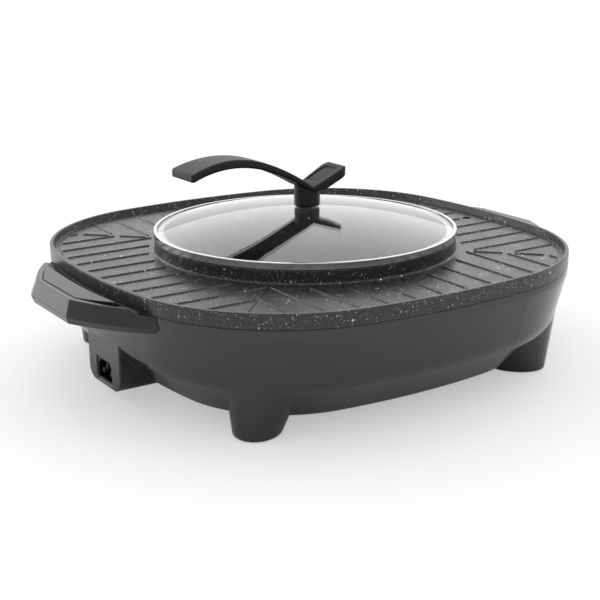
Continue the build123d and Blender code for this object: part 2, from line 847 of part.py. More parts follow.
with BuildPart() as grill_heater:
    add(
        heater(
            grill_heater_half_width,
            grill_heater_straight,
            grill_heater_end_spread,
            grill_tube_level,
            grill_heater_end_level,
        )
    )
grill_heater.part.label = "grill_heater"
export_step(grill_heater.part, "parts/grill_heater.step")

with BuildPart() as pot_heater:
    add(
        heater(
            pot_heater_half_width,
            pot_heater_straight,
            pot_heater_end_spread,
            pot_tube_level,
            pot_heater_end_level,
        )
    )
pot_heater.part.label = "pot_heater"
export_step(pot_heater.part, "parts/pot_heater.step")

# Spring clips that hold the elements up off the shield
clip_cover = clip_cover_share * tube_radius
with BuildPart() as grill_heater_clips:
    with BuildSketch(Plane.XY.offset(shield_top)):
        with PolarLocations(grill_heater_half_width, 4):
            with Locations((0, grill_clip_offset), (0, -grill_clip_offset)):
                Rectangle(clip_width, clip_length)
    extrude(amount=grill_tube_level + clip_cover - shield_top)
    with Locations((0, 0, grill_tube_level)):
        with PolarLocations(grill_heater_half_width, 4):
            with Locations((0, grill_clip_offset), (0, -grill_clip_offset)):
                Cylinder(
                    tube_radius + fit_clearance,
                    clip_length + cut_overrun,
                    rotation=(90, 0, 0),
                    mode=Mode.SUBTRACT,
                )
grill_heater_clips.part.label = "grill_heater_clips"
export_step(grill_heater_clips.part, "parts/grill_heater_clips.step")

with BuildPart() as pot_heater_clips:
    with BuildSketch(Plane.XY.offset(shield_floor_top)):
        with PolarLocations(pot_heater_half_width, 3, start_angle=-90, angular_range=270):
            Rectangle(clip_width, clip_length)
    extrude(amount=pot_tube_level + clip_cover - shield_floor_top)
    with Locations((0, 0, pot_tube_level)):
        with PolarLocations(pot_heater_half_width, 3, start_angle=-90, angular_range=270):
            Cylinder(
                tube_radius + fit_clearance,
                clip_length + cut_overrun,
                rotation=(90, 0, 0),
                mode=Mode.SUBTRACT,
            )
pot_heater_clips.part.label = "pot_heater_clips"
export_step(pot_heater_clips.part, "parts/pot_heater_clips.step")

# Thermostat that feels the pot's underside, on a strip riveted under the shield
with BuildPart() as thermostat_bracket:
    with BuildSketch(Plane.XY.offset(shield_floor_level - bracket_thickness)):
        SlotOverall(bracket_length, bracket_width, rotation=90)
        with Locations((0, rivet_spread), (0, -rivet_spread)):
            Circle(rivet_radius + fit_clearance, mode=Mode.SUBTRACT)
    extrude(amount=bracket_thickness)
thermostat_bracket.part.label = "thermostat_bracket"
export_step(thermostat_bracket.part, "parts/thermostat_bracket.step")

rivet_stack = shield_thickness + bracket_thickness
with BuildPart() as thermostat_rivets:
    for sign in mirror_signs:
        with Locations((0, sign * rivet_spread, shield_floor_top)):
            Cylinder(rivet_radius, rivet_stack, align=(Align.CENTER, Align.CENTER, Align.MAX))
            Cylinder(
                rivet_head_radius, rivet_head_height, align=(Align.CENTER, Align.CENTER, Align.MIN)
            )
        with Locations((0, sign * rivet_spread, shield_floor_top - rivet_stack)):
            Cylinder(
                rivet_head_radius, rivet_head_height, align=(Align.CENTER, Align.CENTER, Align.MAX)
            )
thermostat_rivets.part.label = "thermostat_rivets"
export_step(thermostat_rivets.part, "parts/thermostat_rivets.step")

with BuildPart() as thermostat:
    with Locations((0, 0, shield_floor_level)):
        Cylinder(
            thermostat_collar_radius,
            thermostat_collar_height,
            align=(Align.CENTER, Align.CENTER, Align.MIN),
        )
        Cylinder(
            thermostat_radius,
            pot_underside - contact_gap - shield_floor_level,
            align=(Align.CENTER, Align.CENTER, Align.MIN),
        )
thermostat.part.label = "thermostat"
export_step(thermostat.part, "parts/thermostat.step")

with BuildPart() as thermal_fuse:
    with Locations((fuse_position, 0, shield_floor_level)):
        Box(fuse_length, fuse_width, fuse_height, align=(Align.CENTER, Align.CENTER, Align.MAX))
    chamfer(thermal_fuse.edges().filter_by(Axis.X).group_by(Axis.Z)[0], shield_thickness)
thermal_fuse.part.label = "thermal_fuse"
export_step(thermal_fuse.part, "parts/thermal_fuse.step")

# Inlet: a moulded socket with three blade pins, behind the window of the inlet box
inlet_front = inlet_setback - box_face
inlet_back = inlet_front + inlet_depth
with BuildPart() as inlet_body:
    with BuildSketch(Plane.YZ.offset(inlet_front)):
        with Locations((0, inlet_level)):
            RectangleRounded(inlet_width, inlet_height, inlet_corner_radius)
    extrude(amount=inlet_depth)
    with BuildSketch(Plane.YZ.offset(wall - box_face)):
        with Locations((0, inlet_level)):
            Rectangle(inlet_flange_width, inlet_height)
    extrude(amount=inlet_flange_thickness)
    with BuildSketch(Plane.YZ.offset(inlet_front)) as inlet_mouth:
        with Locations((0, inlet_level)):
            Rectangle(inlet_mouth_width, inlet_mouth_height)
        chamfer(inlet_mouth.vertices().group_by(Axis.Y)[-1], inlet_mouth_chamfer)
    extrude(amount=inlet_mouth_depth, mode=Mode.SUBTRACT)
    with BuildSketch(Plane.YZ.offset(inlet_front)):
        with Locations(
            (pin_spread, inlet_level - pin_drop),
            (-pin_spread, inlet_level - pin_drop),
            (0, inlet_level + earth_pin_rise),
        ):
            Rectangle(pin_width + 2 * fit_clearance, pin_height + 2 * fit_clearance)
    extrude(amount=inlet_depth, mode=Mode.SUBTRACT)
inlet_body.part.label = "inlet_body"
export_step(inlet_body.part, "parts/inlet_body.step")

pin_front = inlet_front + pin_tip_setback
pin_back = inlet_back + pin_tail
pin_places = [
    ("live", -pin_spread, inlet_level - pin_drop),
    ("neutral", pin_spread, inlet_level - pin_drop),
    ("earth", 0, inlet_level + earth_pin_rise),
]
for pin_name, pin_offset, pin_level in pin_places:
    with BuildPart() as inlet_pin:
        with BuildSketch(Plane.YZ.offset(pin_front)):
            with Locations((pin_offset, pin_level)):
                Rectangle(pin_width, pin_height)
        extrude(amount=pin_back - pin_front)
        chamfer(inlet_pin.faces().sort_by(Axis.X)[0].edges(), pin_tip_chamfer)
    inlet_pin.part.label = f"inlet_pin_{pin_name}"
    export_step(inlet_pin.part, f"parts/{inlet_pin.part.label}.step")

# Terminal block on the lip behind the inlet
block_centre = -reach_at(0, base_rim_inset + lip_width / 2)
block_outer = block_centre - block_width / 2
block_inner = block_centre + block_width / 2
with BuildPart() as terminal_block:
    with Locations((block_centre, 0, lip_top)):
        Box(block_width, block_length, block_height, align=(Align.CENTER, Align.CENTER, Align.MIN))
    chamfer(terminal_block.edges().filter_by(Axis.Y).group_by(Axis.Z)[-1], block_chamfer)
    with BuildSketch(Plane.XY.offset(lip_top + block_height)):
        with Locations((block_centre, 0)):
            with GridLocations(block_width / 2, block_pitch, 2, block_poles):
                Circle(screw_radius)
    extrude(amount=-block_height / 2, mode=Mode.SUBTRACT)
terminal_block.part.label = "terminal_block"
export_step(terminal_block.part, "parts/terminal_block.step")

# Wires, from face to face
supply_wires = [
    ("live_wire", -pin_spread, inlet_level - pin_drop, -supply_wire_spread),
    ("neutral_wire", pin_spread, inlet_level - pin_drop, supply_wire_spread),
    ("earth_wire", 0, inlet_level + earth_pin_rise, 0),
]
for wire_name, pin_offset, pin_level, block_offset in supply_wires:
    with BuildPart() as supply_wire:
        run = (block_outer - pin_back) / 3
        points = [
            (pin_back, pin_offset, pin_level),
            (pin_back + run, pin_offset, pin_level),
            (pin_back + 2 * run, block_offset, supply_wire_level),
            (block_outer, block_offset, supply_wire_level),
        ]
        add(tube_along(points, 2 * [wire_bend_radius], wire_radius))
    supply_wire.part.label = wire_name
    export_step(supply_wire.part, f"parts/{wire_name}.step")

with BuildPart() as pot_heater_wires:
    for sign in mirror_signs:
        points = [
            (block_inner, sign * pot_heater_end_spread, pot_wire_level),
            (-pot_heater_half_width, sign * pot_heater_end_spread, pot_wire_level),
            (-pot_heater_half_width, sign * pot_heater_end_spread, pot_heater_end_level),
        ]
        add(tube_along(points, [wire_bend_radius], wire_radius))
pot_heater_wires.part.label = "pot_heater_wires"
export_step(pot_heater_wires.part, "parts/pot_heater_wires.step")

with BuildPart() as grill_heater_wires:
    for sign in mirror_signs:
        points = [
            (block_outer, sign * grill_heater_end_spread, grill_wire_level),
            (-grill_heater_half_width, sign * grill_heater_end_spread, grill_wire_level),
            (-grill_heater_half_width, sign * grill_heater_end_spread, grill_heater_end_level),
        ]
        add(tube_along(points, [wire_bend_radius], wire_radius))
grill_heater_wires.part.label = "grill_heater_wires"
export_step(grill_heater_wires.part, "parts/grill_heater_wires.step")

with BuildPart() as thermostat_wires:
    for sign in mirror_signs:
        points = [
            (block_inner, sign * thermostat_wire_spread, thermostat_wire_level),
            (-thermostat_wire_reach, sign * thermostat_wire_spread, thermostat_wire_level),
            (-thermostat_wire_reach, sign * thermostat_wire_spread, shield_floor_level),
        ]
        add(tube_along(points, [wire_bend_radius], wire_radius))
thermostat_wires.part.label = "thermostat_wires"
export_step(thermostat_wires.part, "parts/thermostat_wires.step")

with BuildPart() as fuse_wires:
    fuse_end = fuse_position - fuse_length / 2
    fuse_wire_level = shield_floor_level - fuse_height / 2 - shield_thickness
    for sign in mirror_signs:
        points = [
            (block_inner, sign * fuse_width / 4, supply_wire_level),
            (-fuse_position, sign * fuse_width / 4, supply_wire_level),
            (fuse_end - fuse_wire_run, sign * fuse_width / 4, fuse_wire_level),
            (fuse_end, sign * fuse_width / 4, fuse_wire_level),
        ]
        add(tube_along(points, 2 * [wire_bend_radius], wire_radius))
fuse_wires.part.label = "fuse_wires"
export_step(fuse_wires.part, "parts/fuse_wires.step")

# Grill pan: one casting with the ribbed floor, the rim, the collar and the pot
with BuildPart() as grill_pan:
    with BuildSketch(Plane.XY.offset(rim_bottom)):
        add(rounded_square(0))
    extrude(amount=rim_height)
    fillet(grill_pan.faces().sort_by(Axis.Z)[-1].edges(), pan_edge_fillet)
    with BuildSketch(Plane.XY.offset(floor_level)):
        add(rounded_square(rim_wall + rim_draft))
    with BuildSketch(Plane.XY.offset(rim_top)):
        add(rounded_square(rim_wall))
    loft(ruled=True, mode=Mode.SUBTRACT)
    with BuildSketch(Plane.XY.offset(rim_bottom)):
        add(rounded_square(rim_wall + rim_draft))
    extrude(amount=floor_underside - rim_bottom, mode=Mode.SUBTRACT)
    with BuildSketch(Plane.XY.offset(floor_underside)):
        Circle(pot_mouth_radius)
    extrude(amount=floor_thickness, mode=Mode.SUBTRACT)
    with BuildSketch(Plane.XZ) as pot_section:
        with BuildLine():
            Polyline(
                (0, pot_underside),
                (pot_floor_radius + pot_wall, pot_underside),
                (pot_mouth_radius + pot_wall, floor_underside),
                (collar_radius + 2 * collar_root_fillet, floor_underside),
                (collar_radius + 2 * collar_root_fillet, floor_level),
                (collar_radius, floor_level),
                (collar_radius, collar_top),
                (pot_mouth_radius, collar_top),
                (pot_floor_radius, pot_floor_level),
                (0, pot_floor_level),
                close=True,
            )
        make_face()
        for point, radius in [
            ((pot_floor_radius + pot_wall, pot_underside), pot_bottom_fillet),
            ((pot_floor_radius, pot_floor_level), pot_corner_fillet),
            ((collar_radius, floor_level), collar_root_fillet),
            ((collar_radius, collar_top), pan_edge_fillet),
            ((pot_mouth_radius, collar_top), pan_edge_fillet),
        ]:
            fillet(pot_section.vertices().sort_by_distance(point)[0], radius)
    revolve(axis=Axis.Z)
    # Gutter along the foot of the rim, and the round dimple on the right side
    with BuildSketch(Plane.XY.offset(floor_level)):
        add(rounded_square(gutter_inset))
        add(rounded_square(gutter_inset + gutter_width), mode=Mode.SUBTRACT)
    extrude(amount=-gutter_depth, mode=Mode.SUBTRACT)
    with Locations((dimple_reach, 0, floor_level)):
        Cylinder(dimple_radius, 2 * dimple_depth, mode=Mode.SUBTRACT)
    # Ribs: those beside the pot start at its collar, the rest at the corner's diagonal,
    # where those of the front right and back left corners stand off on one side
    set_back = [(side_turns[0], -1), (side_turns[1], 1)]
    rib_last = rib_side_count + rib_corner_count
    rib_circle = collar_radius + rib_collar_gap
    with BuildSketch(Plane.XY.offset(floor_level)):
        for turn in side_turns:
            for step_number in range(-rib_last, rib_last + 1):
                rib_offset = step_number * rib_pitch
                rib_end = reach_at(rib_offset, rib_rim_gap)
                rib_start = math.sqrt(max(rib_circle**2 - rib_offset**2, 0))
                if abs(step_number) > rib_side_count:
                    diagonal_start = abs(rib_offset) + rib_width
                    if (turn, math.copysign(1, step_number)) in set_back:
                        diagonal_start += rib_corner_gap
                    rib_start = max(rib_start, diagonal_start)
                if turn == 0 and step_number == 0:
                    rib_end = dimple_reach - 2 * dimple_radius
                if rib_end - rib_start > 2 * rib_width:
                    middle = Vector((rib_start + rib_end) / 2, rib_offset).rotate(Axis.Z, turn)
                    with Locations(middle):
                        SlotOverall(rib_end - rib_start, rib_width, rotation=turn)
        # Diagonal ribs between the meeting points
        for corner_turn in [45, 135, 225, 315]:
            for step_number in range(rib_side_count + 1, rib_last):
                spine_start = math.sqrt(2) * (step_number * rib_pitch + spine_gap)
                spine_start = max(spine_start, rib_circle)
                spine_end = math.sqrt(2) * ((step_number + 1) * rib_pitch - rib_width)
                middle = Vector((spine_start + spine_end) / 2, 0).rotate(Axis.Z, corner_turn)
                with Locations(middle):
                    SlotOverall(spine_end - spine_start, rib_width, rotation=corner_turn)
    extrude(amount=rib_height, taper=rib_taper)
grill_pan.part.label = "grill_pan"
export_step(grill_pan.part, "parts/grill_pan.step")

# Lid: domed glass in a folded steel band
glass_underside = lid_seat + band_sheet + fit_clearance
glass_edge_top = lid_seat + band_height - band_sheet - fit_clearance
glass_top = glass_edge_top + glass_rise
with BuildPart() as lid_glass:
    with BuildSketch(Plane.XZ):
        with BuildLine():
            crown = TangentArc((0, glass_top), (glass_dome_radius, glass_edge_top), tangent=(1, 0))
            Polyline(
                crown @ 1,
                (glass_edge_radius, glass_edge_top),
                (glass_edge_radius, glass_underside),
                (glass_dome_radius, glass_underside),
            )
            vault = TangentArc(
                (0, glass_top - glass_thickness), (glass_dome_radius, glass_underside), tangent=(1, 0)
            )
            Line(vault @ 0, crown @ 0)
        make_face()
    revolve(axis=Axis.Z)
    Hole(glass_hole_radius)
lid_glass.part.label = "lid_glass"
export_step(lid_glass.part, "parts/lid_glass.step")

with BuildPart() as lid_band:
    band_drop_radius = pot_mouth_radius - band_drop_gap
    with BuildSketch(Plane.XZ) as band_section:
        with BuildLine():
            Polyline(
                (band_radius - band_top_width, lid_seat + band_height),
                (band_radius, lid_seat + band_height),
                (band_radius, lid_seat),
                (band_drop_radius, lid_seat),
                (band_drop_radius, lid_seat - band_drop),
            )
            offset(amount=band_sheet, side=Side.RIGHT, closed=True, kind=Kind.INTERSECTION)
        make_face()
        for point in [(band_radius, lid_seat + band_height), (band_radius, lid_seat)]:
            fillet(band_section.vertices().sort_by_distance(point)[0], band_edge_fillet)
    revolve(axis=Axis.Z)
lid_band.part.label = "lid_band"
export_step(lid_band.part, "parts/lid_band.step")

gasket_level = glass_top + fit_clearance
post_foot = gasket_level + gasket_thickness
screw_bore_radius = lid_screw_radius + fit_clearance
with BuildPart() as lid_gasket:
    with BuildSketch(Plane.XY.offset(gasket_level)):
        Circle(gasket_radius)
        Circle(screw_bore_radius, mode=Mode.SUBTRACT)
    extrude(amount=gasket_thickness)
lid_gasket.part.label = "lid_gasket"
export_step(lid_gasket.part, "parts/lid_gasket.step")

washer_level = glass_top - glass_thickness - 2 * fit_clearance - washer_thickness
with BuildPart() as lid_washer:
    with BuildSketch(Plane.XY.offset(washer_level)):
        Circle(washer_radius)
        Circle(screw_bore_radius, mode=Mode.SUBTRACT)
    extrude(amount=washer_thickness)
lid_washer.part.label = "lid_washer"
export_step(lid_washer.part, "parts/lid_washer.step")

with BuildPart() as lid_screw:
    with Locations((0, 0, washer_level)):
        Cylinder(
            lid_screw_head_radius,
            lid_screw_head_height,
            align=(Align.CENTER, Align.CENTER, Align.MAX),
        )
        Cylinder(
            lid_screw_radius,
            post_foot + lid_screw_reach - washer_level,
            align=(Align.CENTER, Align.CENTER, Align.MIN),
        )
    with BuildSketch(Plane.XY.offset(washer_level - lid_screw_head_height)):
        Rectangle(driver_slot_length, driver_slot_width)
        Rectangle(driver_slot_width, driver_slot_length)
    extrude(amount=driver_slot_depth, mode=Mode.SUBTRACT)
lid_screw.part.label = "lid_screw"
export_step(lid_screw.part, "parts/lid_screw.step")

# Lid handle: a post with a long arched arm to the left and a short wing to the right
with BuildLine() as strap_back:
    arm_back = ThreePointArc(
        (-arm_end, arm_end_top), (-arm_crest, arm_crest_top), (-arm_fall, arm_fall_top)
    )
    TangentArc(arm_back @ 1, (wing_root, wing_root_top), tangent=arm_back % 1)
    Line((wing_root, wing_root_top), (wing_end, wing_end_top))

with BuildPart() as lid_handle_post:
    with BuildSketch(Plane((0, 0, lid_seat - strap_edge_fillet), x_dir=(1, 0, 0), z_dir=(0, -1, 0))):
        with BuildLine():
            add(strap_back.line)
            Polyline((wing_end, wing_end_top), (wing_end, 0), (-arm_end, 0), (-arm_end, arm_end_top))
        make_face()
    extrude(amount=2 * post_radius, both=True)
    with Locations((post_shift, 0, post_foot)):
        Cylinder(
            post_radius,
            arm_crest_top,
            align=(Align.CENTER, Align.CENTER, Align.MIN),
            mode=Mode.INTERSECT,
        )
    fillet(lid_handle_post.edges().group_by(Axis.Z)[0], post_foot_fillet)

with BuildPart() as lid_handle:
    with BuildSketch(Plane((0, 0, lid_seat), x_dir=(1, 0, 0), z_dir=(0, -1, 0))):
        with BuildLine():
            add(strap_back.line)
            Polyline(
                (wing_end, wing_end_top),
                (wing_nose, wing_nose_level),
                (wing_end, wing_end_bottom),
                (post_shift + post_radius, wing_root_bottom),
                (post_shift, post_top),
                (post_shift - post_radius, arm_root_bottom),
            )
            arm_belly = ThreePointArc(
                (-arm_end, arm_end_bottom),
                (-arm_crest, arm_crest_bottom),
                (-arm_fall, arm_fall_bottom),
            )
            TangentArc(
                arm_belly @ 1, (post_shift - post_radius, arm_root_bottom), tangent=arm_belly % 1
            )
            Line((-arm_end, arm_end_top), (-arm_end, arm_end_bottom))
        make_face()
    extrude(amount=2 * strap_end_half_width, both=True)
    with BuildSketch(Plane.XY.offset(lid_seat)) as strap_plan:
        with BuildLine():
            cheek = ThreePointArc(
                (-arm_end - fit_clearance, strap_end_half_width),
                (-arm_fall, strap_mid_half_width),
                (wing_root, strap_waist_half_width),
            )
            Polyline(
                cheek @ 1,
                (wing_nose + fit_clearance, strap_wing_half_width),
                (wing_nose + fit_clearance, 0),
                (-arm_end - fit_clearance, 0),
                cheek @ 0,
            )
        make_face()
        mirror(about=Plane.XZ)
        fillet(strap_plan.vertices().group_by(Axis.X)[0], strap_corner_radius)
        fillet(strap_plan.vertices().group_by(Axis.X)[-1], wing_corner_radius)
    extrude(amount=arm_crest_top + cut_overrun, mode=Mode.INTERSECT)
    long_edges = [edge for edge in lid_handle.edges() if edge.length > strap_waist_half_width]
    fillet(long_edges, strap_edge_fillet)
    add(lid_handle_post.part)
    # Bare inset panel on the wing
    wing_slope = math.atan2(wing_end_top - wing_root_top, wing_end - wing_root)
    panel_level = lid_seat + (wing_root_top + wing_end_top) / 2
    panel_middle = ((wing_root + wing_end) / 2, 0, panel_level)
    wing_face = Plane(
        panel_middle,
        x_dir=(math.cos(wing_slope), 0, math.sin(wing_slope)),
        z_dir=(-math.sin(wing_slope), 0, math.cos(wing_slope)),
    )
    with BuildSketch(wing_face):
        RectangleRounded(wing_panel_length, wing_panel_width, wing_panel_corner)
    extrude(amount=-wing_panel_depth, mode=Mode.SUBTRACT)
    with Locations((0, 0, post_foot)):
        Cylinder(
            screw_bore_radius,
            lid_screw_reach + fit_clearance,
            align=(Align.CENTER, Align.CENTER, Align.MIN),
            mode=Mode.SUBTRACT,
        )
lid_handle.part.label = "lid_handle"
export_step(lid_handle.part, "parts/lid_handle.step")
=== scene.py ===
"""Studio view of a square table grill with a pot well and a domed glass lid."""

from __future__ import annotations

import logging
import math
from dataclasses import dataclass, field
from enum import Enum
from typing import Any

import bpy
from mathutils import Matrix, Vector

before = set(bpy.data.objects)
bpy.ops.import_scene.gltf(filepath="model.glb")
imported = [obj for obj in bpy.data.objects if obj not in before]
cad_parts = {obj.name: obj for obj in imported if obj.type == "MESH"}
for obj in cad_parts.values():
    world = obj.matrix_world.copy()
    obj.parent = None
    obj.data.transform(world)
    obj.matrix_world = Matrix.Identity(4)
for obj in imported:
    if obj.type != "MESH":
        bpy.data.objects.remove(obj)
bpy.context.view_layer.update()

log = logging.getLogger("table_grill")
MILLIMETRE = 0.001
WHITE = "#ffffff"
WHITE_STRENGTH = 1.0  # the Standard view shows this strength as pure white


def linear(hex_colour: str) -> tuple[float, float, float, float]:
    """Turn an sRGB hex colour into the linear colour that shaders take.

    Args:
        hex_colour: six hex digits, with or without a leading hash.

    Returns:
        Linear red, green and blue, and an alpha of one.
    """
    digits = hex_colour.lstrip("#")
    channels = [int(digits[start : start + 2], 16) / 255 for start in (0, 2, 4)]
    # The sRGB standard's curve: a straight foot, and a power above it
    lit = [
        c / 12.92 if c <= 0.04045 else ((c + 0.055) / 1.055) ** 2.4 for c in channels
    ]
    return (lit[0], lit[1], lit[2], 1.0)


def add_node(
    tree: bpy.types.NodeTree,
    kind: str,
    settings: dict[str, Any] | None = None,
    **inputs: Any,
) -> bpy.types.Node:
    """Add one node with its settings, socket values and links.

    Args:
        tree: the node tree that takes the node.
        kind: the node's Blender type name.
        settings: attribute names of the node and their values.
        **inputs: socket names, with underscores for spaces, or i0, i1 and so on for
            sockets that share a name; each value is a constant or the output socket
            that feeds it.

    Returns:
        The new node.
    """
    node = tree.nodes.new(kind)
    for name, value in (settings or {}).items():
        setattr(node, name, value)
    for name, value in inputs.items():
        by_number = name[0] == "i" and name[1:].isdigit()
        socket = node.inputs[int(name[1:]) if by_number else name.replace("_", " ")]
        if isinstance(value, bpy.types.NodeSocket):
            tree.links.new(value, socket)
        else:
            socket.default_value = value
    return node


def new_material(
    name: str,
) -> tuple[bpy.types.Material, bpy.types.NodeTree, bpy.types.Node]:
    """Make an empty node material.

    Args:
        name: the material's name.

    Returns:
        The material, its node tree and its output node.
    """
    material = bpy.data.materials.new(name)
    material.use_nodes = True
    tree = material.node_tree
    tree.nodes.clear()
    return material, tree, add_node(tree, "ShaderNodeOutputMaterial")


def any_ray(tree: bpy.types.NodeTree, *kinds: str) -> bpy.types.NodeSocket:
    """Tell rays of the given kinds from all others.

    Args:
        tree: the node tree of the world or of a material.
        *kinds: names of the light path's outputs.

    Returns:
        One for rays of any of these kinds, and nought for the rest.
    """
    ray = add_node(tree, "ShaderNodeLightPath")
    either = ray.outputs[kinds[0]]
    for kind in kinds[1:]:
        either = add_node(
            tree,
            "ShaderNodeMath",
            {"operation": "MAXIMUM"},
            i0=either,
            i1=ray.outputs[kind],
        ).outputs[0]
    return either


def rounded_relief(
    tree: bpy.types.NodeTree,
    height: bpy.types.NodeSocket,
    depth_mm: float,
    edge_mm: float,
    edge_samples: int,
) -> bpy.types.NodeSocket:
    """Lay a fine relief over a surface whose edges catch the light as if rounded.

    Args:
        tree: the material's node tree.
        height: the relief's height, from 0 to 1.
        depth_mm: the relief's depth.
        edge_mm: the radius that the edges seem to have.
        edge_samples: how many rays look for an edge.

    Returns:
        The normal for the shader.
    """
    edge = add_node(
        tree,
        "ShaderNodeBevel",
        {"samples": edge_samples},
        Radius=edge_mm * MILLIMETRE,
    )
    skin = add_node(
        tree,
        "ShaderNodeBump",
        Distance=depth_mm * MILLIMETRE,
        Height=height,
        Normal=edge.outputs[0],
    )
    return skin.outputs[0]


class MouldTexture(Enum):
    """Spacing and depth, in millimetres, of the grain that the mould leaves.

    Real grain is finer than the render can show, so it is drawn coarser here.
    """

    POLISHED = (1.6, 0.004)
    SATIN = (1.0, 0.010)
    SPARK_ERODED = (1.2, 0.030)


class MetalWork(Enum):
    """Length, breadth and depth, in millimetres, of the marks of a metal's working.

    Real marks are finer than the render can show, so they are drawn coarser here.
    """

    POLISHED = (5.0, 0.8, 0.001)
    ROLLED = (30.0, 0.8, 0.006)
    DRAWN = (12.0, 0.5, 0.008)
    PLATED = (1.5, 1.2, 0.003)


@dataclass(frozen=True)
class MouldedPolymer:
    """A thermoplastic, thermoset or rubber with the skin that its mould gave it."""

    name: str
    colour: str
    roughness: float
    texture: MouldTexture = MouldTexture.SATIN
    ior: float = 1.49
    gloss_spread: float = 0.04
    gloss_patch_mm: float = 45.0
    gloss_octaves: float = 3.0
    grain_octaves: float = 2.0
    edge_mm: float = 0.3
    edge_samples: int = 6

    def make(self) -> bpy.types.Material:
        """Build the finish.

        The eye sees one deep even colour under a smooth skin that mirrors pale
        surroundings faintly from the front and strongly at a glancing angle, edges
        that are never quite sharp, gloss that drifts a little over a few centimetres,
        and a fine grain close up.

        Returns:
            The material.
        """
        material, tree, output = new_material(self.name)
        place = add_node(tree, "ShaderNodeTexCoord").outputs["Object"]
        patches = add_node(
            tree,
            "ShaderNodeTexNoise",
            Vector=place,
            Scale=1 / (self.gloss_patch_mm * MILLIMETRE),
            Detail=self.gloss_octaves,
        )
        gloss = add_node(
            tree,
            "ShaderNodeMapRange",
            Value=patches.outputs["Fac"],
            To_Min=self.roughness - self.gloss_spread,
            To_Max=self.roughness + self.gloss_spread,
        )
        spacing_mm, depth_mm = self.texture.value
        grain = add_node(
            tree,
            "ShaderNodeTexNoise",
            Vector=place,
            Scale=1 / (spacing_mm * MILLIMETRE),
            Detail=self.grain_octaves,
        )
        skin = rounded_relief(
            tree,
            grain.outputs["Fac"],
            depth_mm,
            self.edge_mm,
            self.edge_samples,
        )
        shader = add_node(
            tree,
            "ShaderNodeBsdfPrincipled",
            Base_Color=linear(self.colour),
            Roughness=gloss.outputs[0],
            IOR=self.ior,
            Normal=skin,
        )
        tree.links.new(shader.outputs[0], output.inputs[0])
        return material


@dataclass(frozen=True)
class Sprinkle:
    """One size class of the mineral flecks in a sprayed coating."""

    pitch_mm: float
    largest_mm: float
    share: float


